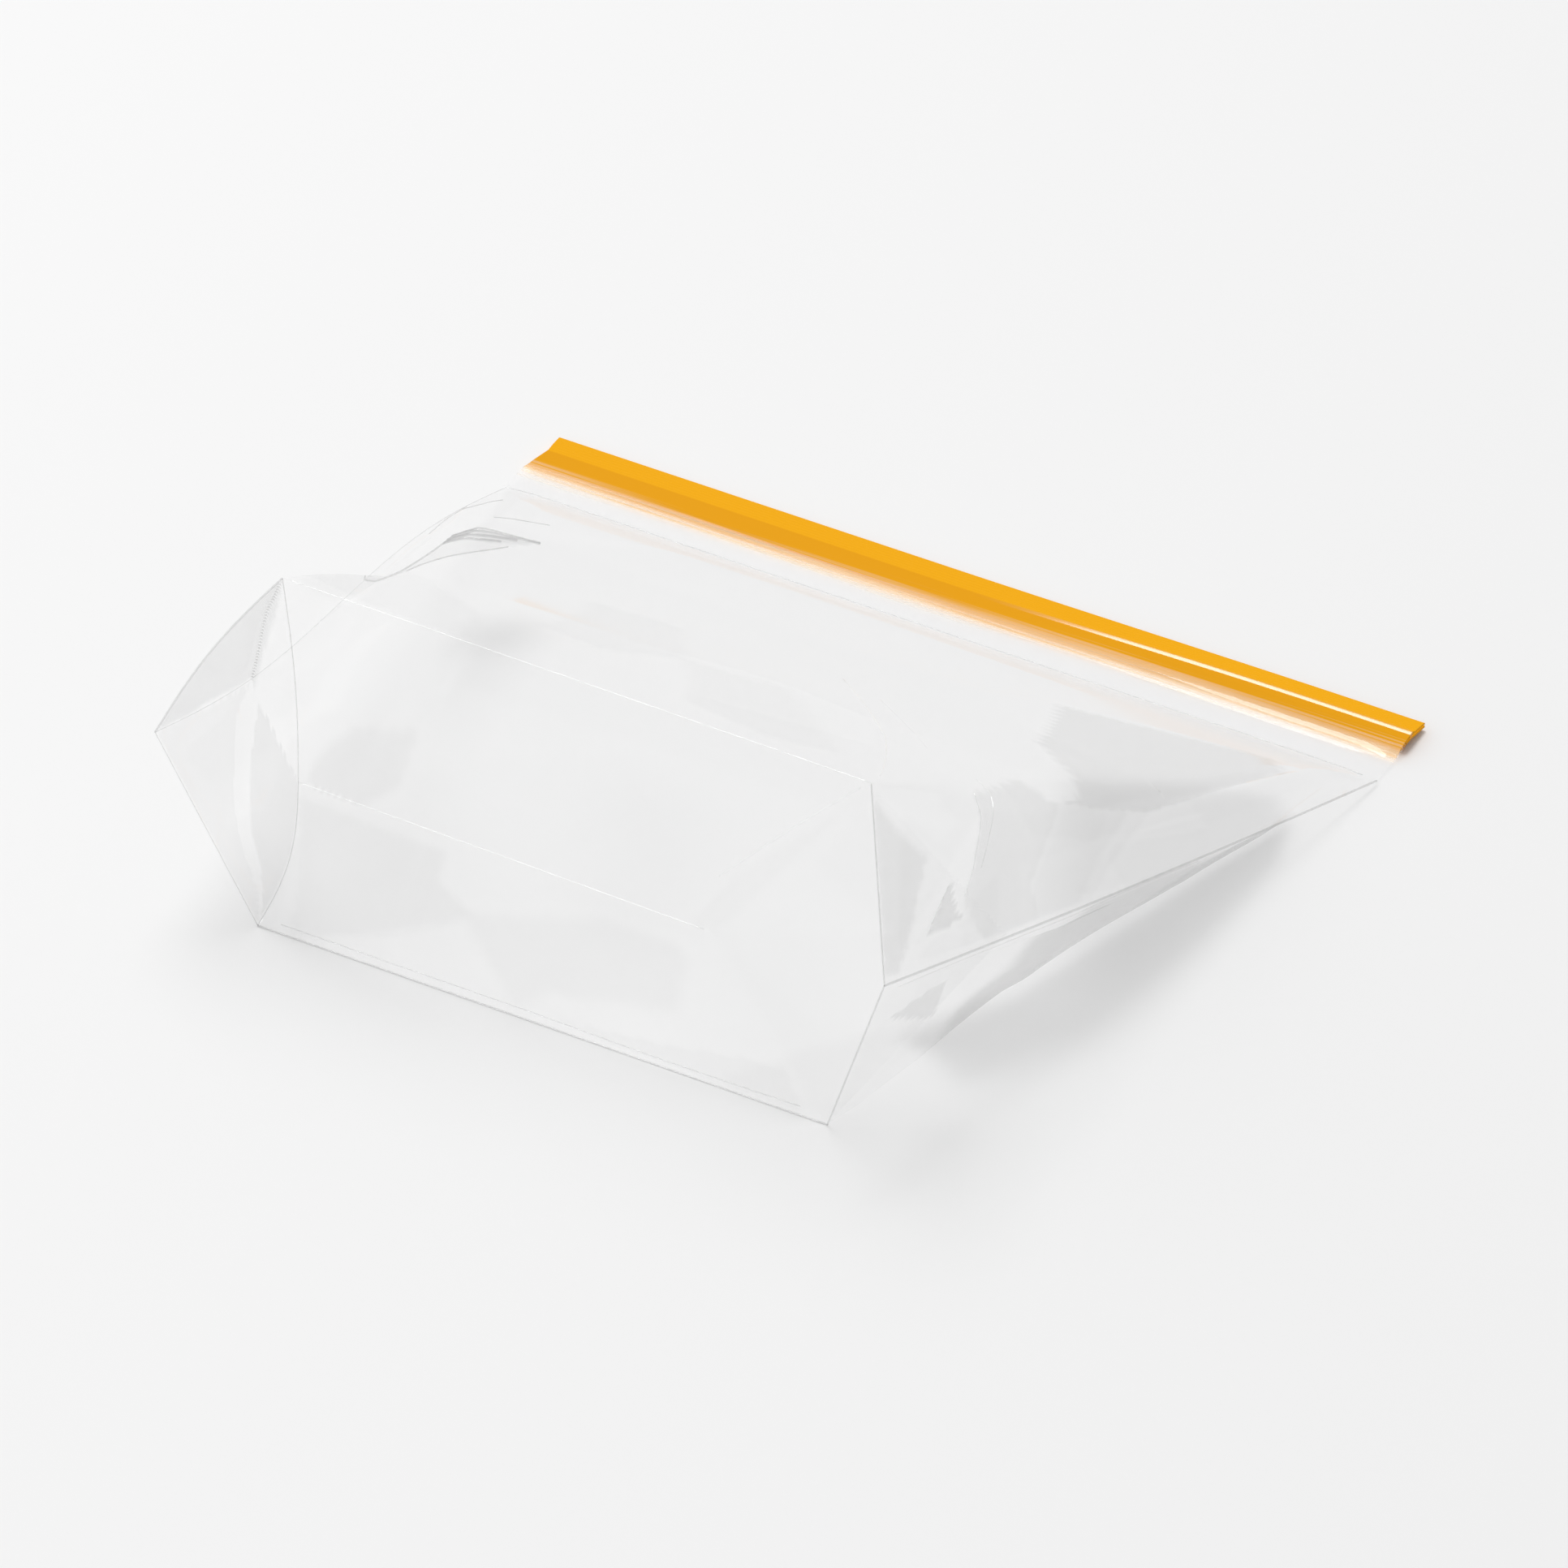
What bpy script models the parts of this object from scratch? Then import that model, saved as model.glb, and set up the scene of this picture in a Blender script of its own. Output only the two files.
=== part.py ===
"""Press-to-close freezer bag: empty, shut on its air, base gusset opened out, lying on its back.

Frame: the origin is on the resting surface under the middle of the bag, +X runs along the
closure, +Y from the opened base to the closure, +Z up. All sizes are in metres.
"""
import math

import bmesh
import bpy
import numpy as np

COLLECTION = "freezer_bag"

# Film web: a front panel, a back panel and the two leaves of the base gusset between them.
BAG_WIDTH = 0.270
FOOTPRINT = 0.2285           # from the side tips of the base to the edge of the lips
GUSSET_LEAF = 0.050          # depth of one leaf, so how far up each side seam it is caught

# Opened base: straight middle of the two folds, and the tips where they meet the side seams.
FRONT_FOLD = 0.170
BACK_FOLD = 0.166
BASE_HEIGHT = 0.0945
FRONT_FOLD_SETBACK = 0.019   # the upper fold lies this much nearer the closure
BASE_SKEW = 0.0022           # the base stands slightly out of square with the closure
TIP_HEIGHT = 0.050
LEFT_TIP_X = -0.112
RIGHT_TIP_X = 0.099
TIP_SKEW = 0.0018
POCKET_INSET = 0.006         # room between a tucked gusset end and the side seam
LEFT_TUCK = 0.009            # how far in from the corners each gusset end starts to tuck
RIGHT_TUCK = 0.038
LEFT_FOLD_HEIGHT = 0.0425     # where the gusset's middle fold crosses the base
RIGHT_FOLD_HEIGHT = 0.0405

# Closure: two extruded strips, the upper with a channel and the lower with a bead.
CLOSURE_WIDTH = 0.0168
FLANGE_WIDTH = 0.011         # flat clear film next to the closure
STRIP_THICKNESS = 0.0007
LIP_WIDTH = 0.0070
CHANNEL_WIDTH = 0.0045
CHANNEL_RISE = 0.0011
BEAD_WIDTH = 0.0018
GAP = 0.0003                 # between neighbouring pieces
ARC_STEPS = 8

LIP_EDGE_Y = FOOTPRINT / 2
BACK_FOLD_Y = BASE_SKEW - FOOTPRINT / 2
JOINT_Y = LIP_EDGE_Y - CLOSURE_WIDTH
FLANGE_Y = JOINT_Y - GAP - FLANGE_WIDTH
MOUTH_THICKNESS = 2 * STRIP_THICKNESS + GAP

# How the side ridges of each panel run out towards the closure.
RIDGE_END_INSET = 0.010
RIDGE_ROUNDING_AT_BASE = 0.0015
RIDGE_ROUNDING = 0.022
LEFT_RIDGE_SAG = 0.0075
RIGHT_RIDGE_SAG = 0.005
PANEL_BULGE = 0.003
LEFT_SEAM_WAVE = 0.0042       # the left seam dips by the tuck and lifts by the closure
RIGHT_SEAM_SAG = 0.0012

# Mesh density.
SIDE_COLUMNS = 8
MIDDLE_COLUMNS = 20
PANEL_ROWS = 26
FLANGE_ROWS = 2
WELD = 0.00001


def point(x, y, z):
    return np.array((x, y, z), dtype=float)


BACK_LEFT = point(-BACK_FOLD / 2, BACK_FOLD_Y - BASE_SKEW, 0)
BACK_RIGHT = point(BACK_FOLD / 2, BACK_FOLD_Y + BASE_SKEW, 0)
FRONT_LEFT = point(-FRONT_FOLD / 2, BACK_FOLD_Y + FRONT_FOLD_SETBACK, BASE_HEIGHT)
FRONT_RIGHT = point(FRONT_FOLD / 2, BACK_FOLD_Y + FRONT_FOLD_SETBACK, BASE_HEIGHT)
TIP_LEFT = point(LEFT_TIP_X, BACK_FOLD_Y - TIP_SKEW, TIP_HEIGHT)
TIP_RIGHT = point(RIGHT_TIP_X, BACK_FOLD_Y + TIP_SKEW, TIP_HEIGHT)

# Creases pressed into the panels when the bag was filled: panel, start and end as (across, along)
# shares of the panel, half width, and height outwards (a negative height is a dent).
CREASES = (
    ("front", (0.32, 0.22), (0.24, 0.74), 0.016, -0.0045),
    ("front", (0.23, 0.66), (0.37, 0.80), 0.010, -0.0030),
    ("front", (0.57, 0.86), (0.71, 0.38), 0.020, -0.0060),
    ("front", (0.65, 0.95), (0.79, 0.50), 0.014, 0.0040),
    ("front", (0.52, 0.60), (0.65, 0.05), 0.014, -0.0025),
    ("front", (0.99, 0.02), (0.66, 0.24), 0.013, 0.0030),
    ("front", (0.99, 0.06), (0.76, 0.26), 0.010, -0.0035),
    ("back", (0.97, 0.20), (0.84, 0.50), 0.014, -0.0030),
    ("back", (0.03, 0.25), (0.15, 0.60), 0.014, -0.0030),
)


def mix(start, end, share):
    return start + (end - start) * share


def ease(share):
    """Rise from 0 to 1 that starts and ends level."""
    share = min(max(share, 0.0), 1.0)
    return share * share * (3 - 2 * share)


def rounded_row(corners, segment, share, rounding):
    """A place on a line through four corners, whose two inner corners are eased over `rounding`."""
    spans = [corners[i + 1] - corners[i] for i in range(3)]
    lengths = [max(np.linalg.norm(span), 1e-9) for span in spans]
    place = corners[segment] + spans[segment] * share
    travelled = sum(lengths[:segment]) + lengths[segment] * share
    for bend in (1, 2):
        reach = min(rounding, 0.45 * lengths[bend - 1], 0.45 * lengths[bend])
        left_over = reach - abs(travelled - sum(lengths[:bend]))
        if left_over > 0:
            turn = spans[bend] / lengths[bend] - spans[bend - 1] / lengths[bend - 1]
            place = place + turn * left_over ** 2 / (4 * reach)
    return place


def seam_point(side, along):
    """The welded side seam from the tip of the base to the closure, with its slight waves."""
    tip = TIP_LEFT if side < 0 else TIP_RIGHT
    end = point(side * BAG_WIDTH / 2, FLANGE_Y, MOUTH_THICKNESS / 2)
    if side < 0:
        wave = -LEFT_SEAM_WAVE * math.sin(2 * math.pi * along)
    else:
        wave = -RIGHT_SEAM_SAG * math.sin(math.pi * along)
    return mix(tip, end, along) + point(0, 0, wave)


def panel_corners(panel, along):
    """Seam, ridge, ridge, seam of one panel at a share of its length from base to closure."""
    row = [seam_point(-1, along), None, None, seam_point(1, along)]
    for index, side in ((1, -1), (2, 1)):
        if panel == "front":
            start = FRONT_LEFT if side < 0 else FRONT_RIGHT
            sag = LEFT_RIDGE_SAG if side < 0 else RIGHT_RIDGE_SAG
            height = MOUTH_THICKNESS
        else:
            start = BACK_LEFT if side < 0 else BACK_RIGHT
            sag = 0.0
            height = 0.0
        end = point(side * (BAG_WIDTH / 2 - RIDGE_END_INSET), FLANGE_Y, height)
        row[index] = mix(start, end, along) - point(0, 0, sag * math.sin(math.pi * along) ** 2)
    return row


def crease_height(panel, across, along):
    """Sum of the creases at a place of a panel: a ridge with a crest line that fades at its ends."""
    total = 0.0
    for name, start, end, half_width, height in CREASES:
        if name != panel:
            continue
        size = np.array((BAG_WIDTH, FOOTPRINT))
        first = np.array(start) * size
        line = np.array(end) * size - first
        reach = np.array((across, along)) * size - first
        share = float(np.dot(reach, line) / np.dot(line, line))
        away = abs(line[0] * reach[1] - line[1] * reach[0]) / np.linalg.norm(line)
        if 0 < share < 1 and away < half_width:
            total += height * ease(1 - away / half_width) * math.sin(math.pi * share)
    return total


def panel_point(panel, column, along):
    """Place of a panel's film; column counts 0 to 3 from seam to ridge to ridge to seam."""
    segment = min(int(column), 2)
    share = column - segment
    rounding = mix(RIDGE_ROUNDING_AT_BASE, RIDGE_ROUNDING, ease(along / 0.5))
    place = rounded_row(panel_corners(panel, along), segment, share, rounding)
    if panel == "front":
        middle = math.sin(math.pi * column / 3) * math.sin(math.pi * along)
        place = place + point(0, 0, PANEL_BULGE * middle)
    inside = math.sin(math.pi * column / 3) ** 0.5 * ease(along / 0.08) * ease((1 - along) / 0.08)
    push = crease_height(panel, column / 3, along) * inside
    side = (column / 3 - 0.5) * 2 * max(0.0, 1 - along)
    outward = point(0.9 * side, 0, 1.0 if panel == "front" else -1.0)
    place = place + outward / np.linalg.norm(outward) * push
    if panel == "back":
        place[2] = max(place[2], 0.0)
    return place


def flange_point(panel, column, along):
    """Flat film beside the closure, at a share of the flange's width."""
    place = panel_point(panel, column, 1.0)
    return place + point(0, FLANGE_WIDTH * along, 0)


def tucked_point(apex, fold, corner, tip, across, up):
    """One leaf of a tucked gusset end, creased from the corner of the base to the apex."""
    if across >= up:
        return apex + (fold - apex) * across + (corner - fold) * up
    return apex + (tip - apex) * up + (corner - tip) * across


def gusset_points(side, upper):
    """Apex of the tuck, its fold point on the base, the base corner and the tip, on one side."""
    tip = TIP_LEFT if side < 0 else TIP_RIGHT
    back = BACK_LEFT if side < 0 else BACK_RIGHT
    front = FRONT_LEFT if side < 0 else FRONT_RIGHT
    tuck = LEFT_TUCK if side < 0 else RIGHT_TUCK
    fold_height = LEFT_FOLD_HEIGHT if side < 0 else RIGHT_FOLD_HEIGHT
    end = seam_point(side, 1.0)
    seam_run = np.linalg.norm(end - tip)
    apex = seam_point(side, GUSSET_LEAF / seam_run) - point(side * POCKET_INSET, 0, 0)
    fold = mix(back, front, fold_height / BASE_HEIGHT) - point(side * tuck, 0, 0)
    return apex, fold, front if upper else back, tip


def gusset_point(upper, column, up):
    """Place of the gusset's film from its middle fold (up = 0) to a base fold (up = 1)."""
    if column <= 1:
        return tucked_point(*gusset_points(-1, upper), column, up)
    if column >= 2:
        return tucked_point(*gusset_points(1, upper), 3 - column, up)
    edges = []
    for side in (-1, 1):
        _, fold, corner, _ = gusset_points(side, upper)
        edges.append(mix(fold, corner, up))
    return mix(edges[0], edges[1], column - 1)


def column_values():
    """Column positions from seam (0) to seam (3), close together at the sides."""
    sides = [i / SIDE_COLUMNS for i in range(SIDE_COLUMNS)]
    middle = [1 + i / MIDDLE_COLUMNS for i in range(MIDDLE_COLUMNS)]
    return sides + middle + [2 + value for value in sides] + [3.0]


def add_film(bm, rows, place):
    """A grid of film: place(column, row value) gives each corner; quads split along the creases."""
    columns = column_values()
    grid = bmesh.ops.create_grid(bm, x_segments=len(columns) - 1, y_segments=len(rows) - 1, size=1)
    faces = set()
    where = {}
    for vert in grid["verts"]:
        column = columns[round((vert.co.x + 1) / 2 * (len(columns) - 1))]
        row = rows[round((vert.co.y + 1) / 2 * (len(rows) - 1))]
        where[vert] = (column, row)
        faces.update(vert.link_faces)
    for vert, (column, row) in where.items():
        vert.co = place(column, row)
    for face in list(faces):
        corners = list(face.verts)
        column = sum(where[vert][0] for vert in corners) / 4
        row = sum(where[vert][1] for vert in corners) / 4
        middle = place(column, row)
        errors = [np.linalg.norm((np.array(corners[i].co) + np.array(corners[i + 2].co)) / 2 - middle)
                  for i in (0, 1)]
        first = 0 if errors[0] <= errors[1] else 1
        bmesh.utils.face_split(face, corners[first], corners[first + 2])


def add_mouth(bm):
    """Close the end of the film beside the closure, between its two panels."""
    columns = column_values()
    last = [[bm.verts.new(flange_point(panel, column, 1.0)) for column in columns]
            for panel in ("front", "back")]
    for index in range(len(columns) - 1):
        front_a, front_b = last[0][index], last[0][index + 1]
        back_a, back_b = last[1][index], last[1][index + 1]
        if index == 0:
            bm.faces.new((front_a, front_b, back_b))
        elif index == len(columns) - 2:
            bm.faces.new((front_a, front_b, back_a))
        else:
            bm.faces.new((front_a, front_b, back_b, back_a))


def film_pouch(collection, material):
    bm = bmesh.new()
    panel_rows = [i / PANEL_ROWS for i in range(PANEL_ROWS + 1)]
    flange_rows = [i / FLANGE_ROWS for i in range(FLANGE_ROWS + 1)]
    leaf_rows = [i / SIDE_COLUMNS for i in range(SIDE_COLUMNS + 1)]
    for panel in ("front", "back"):
        add_film(bm, panel_rows, lambda column, row, panel=panel: panel_point(panel, column, row))
        add_film(bm, flange_rows, lambda column, row, panel=panel: flange_point(panel, column, row))
    for panel, upper in (("front", True), ("back", False)):
        def leaf(column, up, panel=panel, upper=upper):
            return panel_point(panel, column, 0.0) if up == 1 else gusset_point(upper, column, up)
        add_film(bm, leaf_rows, leaf)
    add_mouth(bm)
    bmesh.ops.remove_doubles(bm, verts=bm.verts, dist=WELD)
    bmesh.ops.dissolve_degenerate(bm, edges=bm.edges, dist=WELD)
    bmesh.ops.triangulate(bm, faces=bm.faces)
    bmesh.ops.recalc_face_normals(bm, faces=bm.faces)
    mesh = bpy.data.meshes.new("film_pouch")
    bm.to_mesh(mesh)
    bm.free()
    mesh.materials.append(material)
    pouch = bpy.data.objects.new("film_pouch", mesh)
    collection.objects.link(pouch)
    return pouch


def arch(center, radius, rise, base):
    """Points of a half ellipse over `center`, from its far side (+Y) to its near side."""
    return [(center + radius * math.cos(math.pi * i / ARC_STEPS),
             base + rise * math.sin(math.pi * i / ARC_STEPS)) for i in range(ARC_STEPS + 1)]


def strip(name, outline, collection, material):
    """A closure strip: its (y, z) cross-section extruded along the whole width of the bag."""
    curve = bpy.data.curves.new(name, "CURVE")
    curve.dimensions = "2D"
    curve.fill_mode = "BOTH"
    curve.extrude = BAG_WIDTH / 2
    spline = curve.splines.new("POLY")
    spline.points.add(len(outline) - 1)
    for spot, (y, z) in zip(spline.points, outline):
        spot.co = (y, z, 0, 1)
    spline.use_cyclic_u = True
    curve.materials.append(material)
    piece = bpy.data.objects.new(name, curve)
    piece.rotation_euler = (math.pi / 2, 0, math.pi / 2)
    collection.objects.link(piece)
    return piece


def closure_strips(collection, material):
    track = LIP_EDGE_Y - LIP_WIDTH - CHANNEL_WIDTH / 2
    upper_low = STRIP_THICKNESS + GAP
    upper_high = upper_low + STRIP_THICKNESS
    outside = arch(track, CHANNEL_WIDTH / 2, CHANNEL_RISE, upper_high)
    bead = arch(track, BEAD_WIDTH / 2, CHANNEL_RISE, STRIP_THICKNESS)
    channel = arch(track, BEAD_WIDTH / 2 + GAP, CHANNEL_RISE + GAP / 2, upper_low)
    front = [(LIP_EDGE_Y, upper_low), (LIP_EDGE_Y, upper_high)] + outside
    front += [(JOINT_Y, upper_high), (JOINT_Y, upper_low)] + channel[::-1]
    back = [(LIP_EDGE_Y, 0), (LIP_EDGE_Y, STRIP_THICKNESS)] + bead
    back += [(JOINT_Y, STRIP_THICKNESS), (JOINT_Y, 0)]
    strip("closure_front", front, collection, material)
    strip("closure_back", back, collection, material)


def plastic(name, colour, roughness, clearness):
    material = bpy.data.materials.new(name)
    material.use_nodes = True
    shader = material.node_tree.nodes["Principled BSDF"]
    shader.inputs["Base Color"].default_value = (*colour, 1)
    shader.inputs["Roughness"].default_value = roughness
    shader.inputs["Metallic"].default_value = 0.0
    shader.inputs["Transmission Weight"].default_value = clearness
    return material


for leftover in list(bpy.data.objects):
    bpy.data.objects.remove(leftover)
bag = bpy.data.collections.new(COLLECTION)
bpy.context.scene.collection.children.link(bag)
film_pouch(bag, plastic("clear_film", (0.90, 0.92, 0.93), 0.15, 0.85))
closure_strips(bag, plastic("orange_closure", (0.86, 0.40, 0.01), 0.35, 0.0))
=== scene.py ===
import math

import bpy
import numpy as np
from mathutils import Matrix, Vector


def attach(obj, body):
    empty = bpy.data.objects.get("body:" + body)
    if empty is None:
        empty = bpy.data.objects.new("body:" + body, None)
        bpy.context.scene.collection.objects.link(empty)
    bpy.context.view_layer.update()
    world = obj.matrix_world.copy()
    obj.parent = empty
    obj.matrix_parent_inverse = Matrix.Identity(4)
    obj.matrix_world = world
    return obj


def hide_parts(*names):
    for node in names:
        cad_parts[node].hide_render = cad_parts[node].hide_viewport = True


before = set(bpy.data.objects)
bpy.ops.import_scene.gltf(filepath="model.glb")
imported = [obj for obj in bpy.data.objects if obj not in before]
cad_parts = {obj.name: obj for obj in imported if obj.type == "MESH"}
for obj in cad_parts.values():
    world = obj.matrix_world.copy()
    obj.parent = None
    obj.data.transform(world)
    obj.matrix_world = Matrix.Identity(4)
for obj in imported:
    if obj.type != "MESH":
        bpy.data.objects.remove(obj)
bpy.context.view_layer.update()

# ---------------------------------------------------------------------------------------------
# Camera: a long lens a little above the bag, looking at it over the opened base.
# ---------------------------------------------------------------------------------------------
CAMERA_AIM = Vector((0.0015, 0.0068, 0.0))
CAMERA_AZIMUTH = math.radians(30.635)
CAMERA_ELEVATION = math.radians(36.291)
CAMERA_DISTANCE = 1.9146
CAMERA_LENS = 167.7            # millimetres, on a sensor 36 mm wide
away = Vector((math.sin(CAMERA_AZIMUTH) * math.cos(CAMERA_ELEVATION),
               -math.cos(CAMERA_AZIMUTH) * math.cos(CAMERA_ELEVATION),
               math.sin(CAMERA_ELEVATION)))
bpy.ops.object.camera_add(location=CAMERA_AIM + away * CAMERA_DISTANCE,
                          rotation=(math.pi / 2 - CAMERA_ELEVATION, 0, CAMERA_AZIMUTH))
camera = bpy.context.object
camera.data.lens = CAMERA_LENS
camera.data.sensor_width = 36.0
camera.data.clip_end = 50.0
bpy.context.scene.camera = camera

# ---------------------------------------------------------------------------------------------
# Studio: a pale floor, one large soft light behind the bag and a pale room all round.
# ---------------------------------------------------------------------------------------------
LIGHT_DIRECTION = Vector((-0.353, 0.398, 0.847))
LIGHT_DISTANCE = 8.0
LIGHT_SIZE = 4.2
LIGHT_POWER = 371.0
bpy.ops.object.light_add(type="AREA", location=LIGHT_DIRECTION * LIGHT_DISTANCE)
key_light = bpy.context.object
key_light.rotation_euler = LIGHT_DIRECTION.to_track_quat("Z", "Y").to_euler()
key_light.data.shape = "DISK"
key_light.data.size = LIGHT_SIZE
key_light.data.energy = LIGHT_POWER

# The room is bright low down on the left and in front, darker to the right and overhead.
WALL_BRIGHT_SIDE = (-0.93, -0.36, 0.0)
WALL_DARK, WALL_BRIGHT = 0.25, 0.95
CEILING_TONE = 0.45
CEILING_START, CEILING_END = 0.60, 0.88
world = bpy.data.worlds.new("room")
bpy.context.scene.world = world
world.use_nodes = True
nodes = world.node_tree.nodes
links = world.node_tree.links
nodes.clear()
way = nodes.new("ShaderNodeTexCoord")
toward_left = nodes.new("ShaderNodeVectorMath")
toward_left.operation = "DOT_PRODUCT"
toward_left.inputs[1].default_value = WALL_BRIGHT_SIDE
links.new(way.outputs["Generated"], toward_left.inputs[0])
walls = nodes.new("ShaderNodeMapRange")
walls.inputs["From Min"].default_value = -0.9
walls.inputs["From Max"].default_value = 0.3
walls.inputs["To Min"].default_value = WALL_DARK
walls.inputs["To Max"].default_value = WALL_BRIGHT
links.new(toward_left.outputs["Value"], walls.inputs["Value"])
split = nodes.new("ShaderNodeSeparateXYZ")
links.new(way.outputs["Generated"], split.inputs[0])
height = nodes.new("ShaderNodeMapRange")
height.interpolation_type = "SMOOTHSTEP"
height.inputs["From Min"].default_value = CEILING_START
height.inputs["From Max"].default_value = CEILING_END
links.new(split.outputs["Z"], height.inputs["Value"])
tone = nodes.new("ShaderNodeMix")
tone.inputs["B"].default_value = CEILING_TONE
links.new(height.outputs["Result"], tone.inputs["Factor"])
links.new(walls.outputs["Result"], tone.inputs["A"])
sky = nodes.new("ShaderNodeBackground")
sky.inputs["Strength"].default_value = 1.0
links.new(tone.outputs["Result"], sky.inputs["Color"])
room_out = nodes.new("ShaderNodeOutputWorld")
links.new(sky.outputs["Background"], room_out.inputs["Surface"])

# The floor is matt paper, with the falloff of the key light painted into its colour: brighter towards the upper
# left.
FLOOR_SIZE = 12
FLOOR_Z = -0.0002              # just under the bag, so that the two never share a plane
PAINTED_FALLOFF_SLOPE = (-0.074, -0.074, 0.0)
PAINTED_FALLOFF_DARK, PAINTED_FALLOFF_BRIGHT = 0.78, 0.94
bpy.ops.mesh.primitive_plane_add(size=FLOOR_SIZE)
floor = bpy.context.object
floor.name = "floor"
floor.location.z = FLOOR_Z
paper = bpy.data.materials.new("floor_paper")
paper.use_nodes = True
paper_shader = paper.node_tree.nodes["Principled BSDF"]
paper_shader.inputs["Base Color"].default_value = (0.86, 0.86, 0.86, 1)
paper_shader.inputs["Roughness"].default_value = 0.9
paper_shader.inputs["Specular IOR Level"].default_value = 0.1
where = paper.node_tree.nodes.new("ShaderNodeTexCoord")
falloff = paper.node_tree.nodes.new("ShaderNodeVectorMath")
falloff.operation = "DOT_PRODUCT"
falloff.inputs[1].default_value = PAINTED_FALLOFF_SLOPE
paper.node_tree.links.new(where.outputs["Object"], falloff.inputs[0])
painted_falloff_tone = paper.node_tree.nodes.new("ShaderNodeMapRange")
painted_falloff_tone.inputs["From Min"].default_value = -0.1
painted_falloff_tone.inputs["From Max"].default_value = 0.1
painted_falloff_tone.inputs["To Min"].default_value = PAINTED_FALLOFF_DARK
painted_falloff_tone.inputs["To Max"].default_value = PAINTED_FALLOFF_BRIGHT
paper.node_tree.links.new(falloff.outputs["Value"], painted_falloff_tone.inputs["Value"])
paper.node_tree.links.new(painted_falloff_tone.outputs["Result"], paper_shader.inputs["Base Color"])
floor.data.materials.append(paper)

bpy.context.scene.view_settings.view_transform = "Standard"
bpy.context.scene.cycles.transparent_max_bounces = 40

# ---------------------------------------------------------------------------------------------
# Film web: one sheet of clear film folded into a front panel, a back panel and the two leaves
# of the base gusset. It is a single skin, welded down both sides and held by the closure.
# ---------------------------------------------------------------------------------------------
BAG_WIDTH = 0.270
FOOTPRINT = 0.2285
GUSSET_LEAF = 0.050
FRONT_FOLD = 0.170
BACK_FOLD = 0.166
BASE_HEIGHT = 0.0945
FRONT_FOLD_SETBACK = 0.019
BASE_SKEW = 0.0022
TIP_HEIGHT = 0.050
LEFT_TIP_X = -0.112
RIGHT_TIP_X = 0.099
TIP_SKEW = 0.0018
POCKET_INSET = 0.0012
LEFT_TUCK = 0.009
RIGHT_TUCK = 0.038
LEFT_FOLD_HEIGHT = 0.0425
RIGHT_FOLD_HEIGHT = 0.0405
CLOSURE_WIDTH = 0.0168
FLANGE_WIDTH = 0.011
FLANGE_REACH = 0.015          # the film runs on under the orange of the tapes
STRIP_THICKNESS = 0.0007
GAP = 0.0003
LIP_EDGE_Y = FOOTPRINT / 2
BACK_FOLD_Y = BASE_SKEW - FOOTPRINT / 2
JOINT_Y = LIP_EDGE_Y - CLOSURE_WIDTH
FLANGE_Y = JOINT_Y - GAP - FLANGE_WIDTH
MOUTH_THICKNESS = 2 * STRIP_THICKNESS + GAP
RIDGE_END_INSET = 0.010
RIDGE_ROUNDING_AT_BASE = 0.0015
RIDGE_ROUNDING = 0.022
LEFT_RIDGE_SAG = 0.0075
RIGHT_RIDGE_SAG = 0.005
PANEL_DROP = 0.0083           # how far the front panel hollows towards the closure
LEFT_SEAM_WAVE = 0.0042
RIGHT_SEAM_SAG = 0.0012
LEFT_CORNER_BOW = (-0.0018, 0.0, 0.0012)
LEFT_FOLD_BOW = 0.0036        # how far the left tuck's fold line is pushed in
LEFT_CREASE_BOW = 0.0042      # and its slanting crease out
CROWN_SQUARENESS = 0.45       # below 1, the front panel stays level almost to its ridges
SHARP_LENGTH = 0.02           # share of a panel over which its ridges run out to sharp corners
SHARPEST = 1e-6
UNDER_TAPES_Z = 0.0002
FRONT_OVER_BACK = 0.0011      # gap between the two panels where they run under the orange
CLOSURE_LIFT = 0.0018         # the right half of the closure arches off the floor


def spot(x, y, z):
    return np.array((x, y, z), dtype=float)


BACK_LEFT = spot(-BACK_FOLD / 2, BACK_FOLD_Y - BASE_SKEW, 0)
BACK_RIGHT = spot(BACK_FOLD / 2, BACK_FOLD_Y + BASE_SKEW, 0)
FRONT_LEFT = spot(-FRONT_FOLD / 2, BACK_FOLD_Y + FRONT_FOLD_SETBACK, BASE_HEIGHT)
FRONT_RIGHT = spot(FRONT_FOLD / 2, BACK_FOLD_Y + FRONT_FOLD_SETBACK, BASE_HEIGHT)
TIP_LEFT = spot(LEFT_TIP_X, BACK_FOLD_Y - TIP_SKEW, TIP_HEIGHT)
TIP_RIGHT = spot(RIGHT_TIP_X, BACK_FOLD_Y + TIP_SKEW, TIP_HEIGHT)


def mix(start, end, share):
    return start + (end - start) * np.asarray(share)[..., None]


def ease(share):
    share = np.clip(share, 0, 1)
    return share * share * (3 - 2 * share)


def upward(height):
    height = np.asarray(height, dtype=float)
    return np.stack((0 * height, 0 * height, height), axis=-1)


def seam_point(side, along):
    """The welded side seam from the tip of the base to the closure."""
    tip = TIP_LEFT if side < 0 else TIP_RIGHT
    end = spot(side * BAG_WIDTH / 2, FLANGE_Y, MOUTH_THICKNESS / 2)
    along = np.asarray(along, dtype=float)
    if side < 0:
        wave = -LEFT_SEAM_WAVE * np.sin(2 * np.pi * along)
    else:
        wave = -RIGHT_SEAM_SAG * np.sin(np.pi * along)
    return mix(tip, end, along) + upward(wave)


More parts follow.
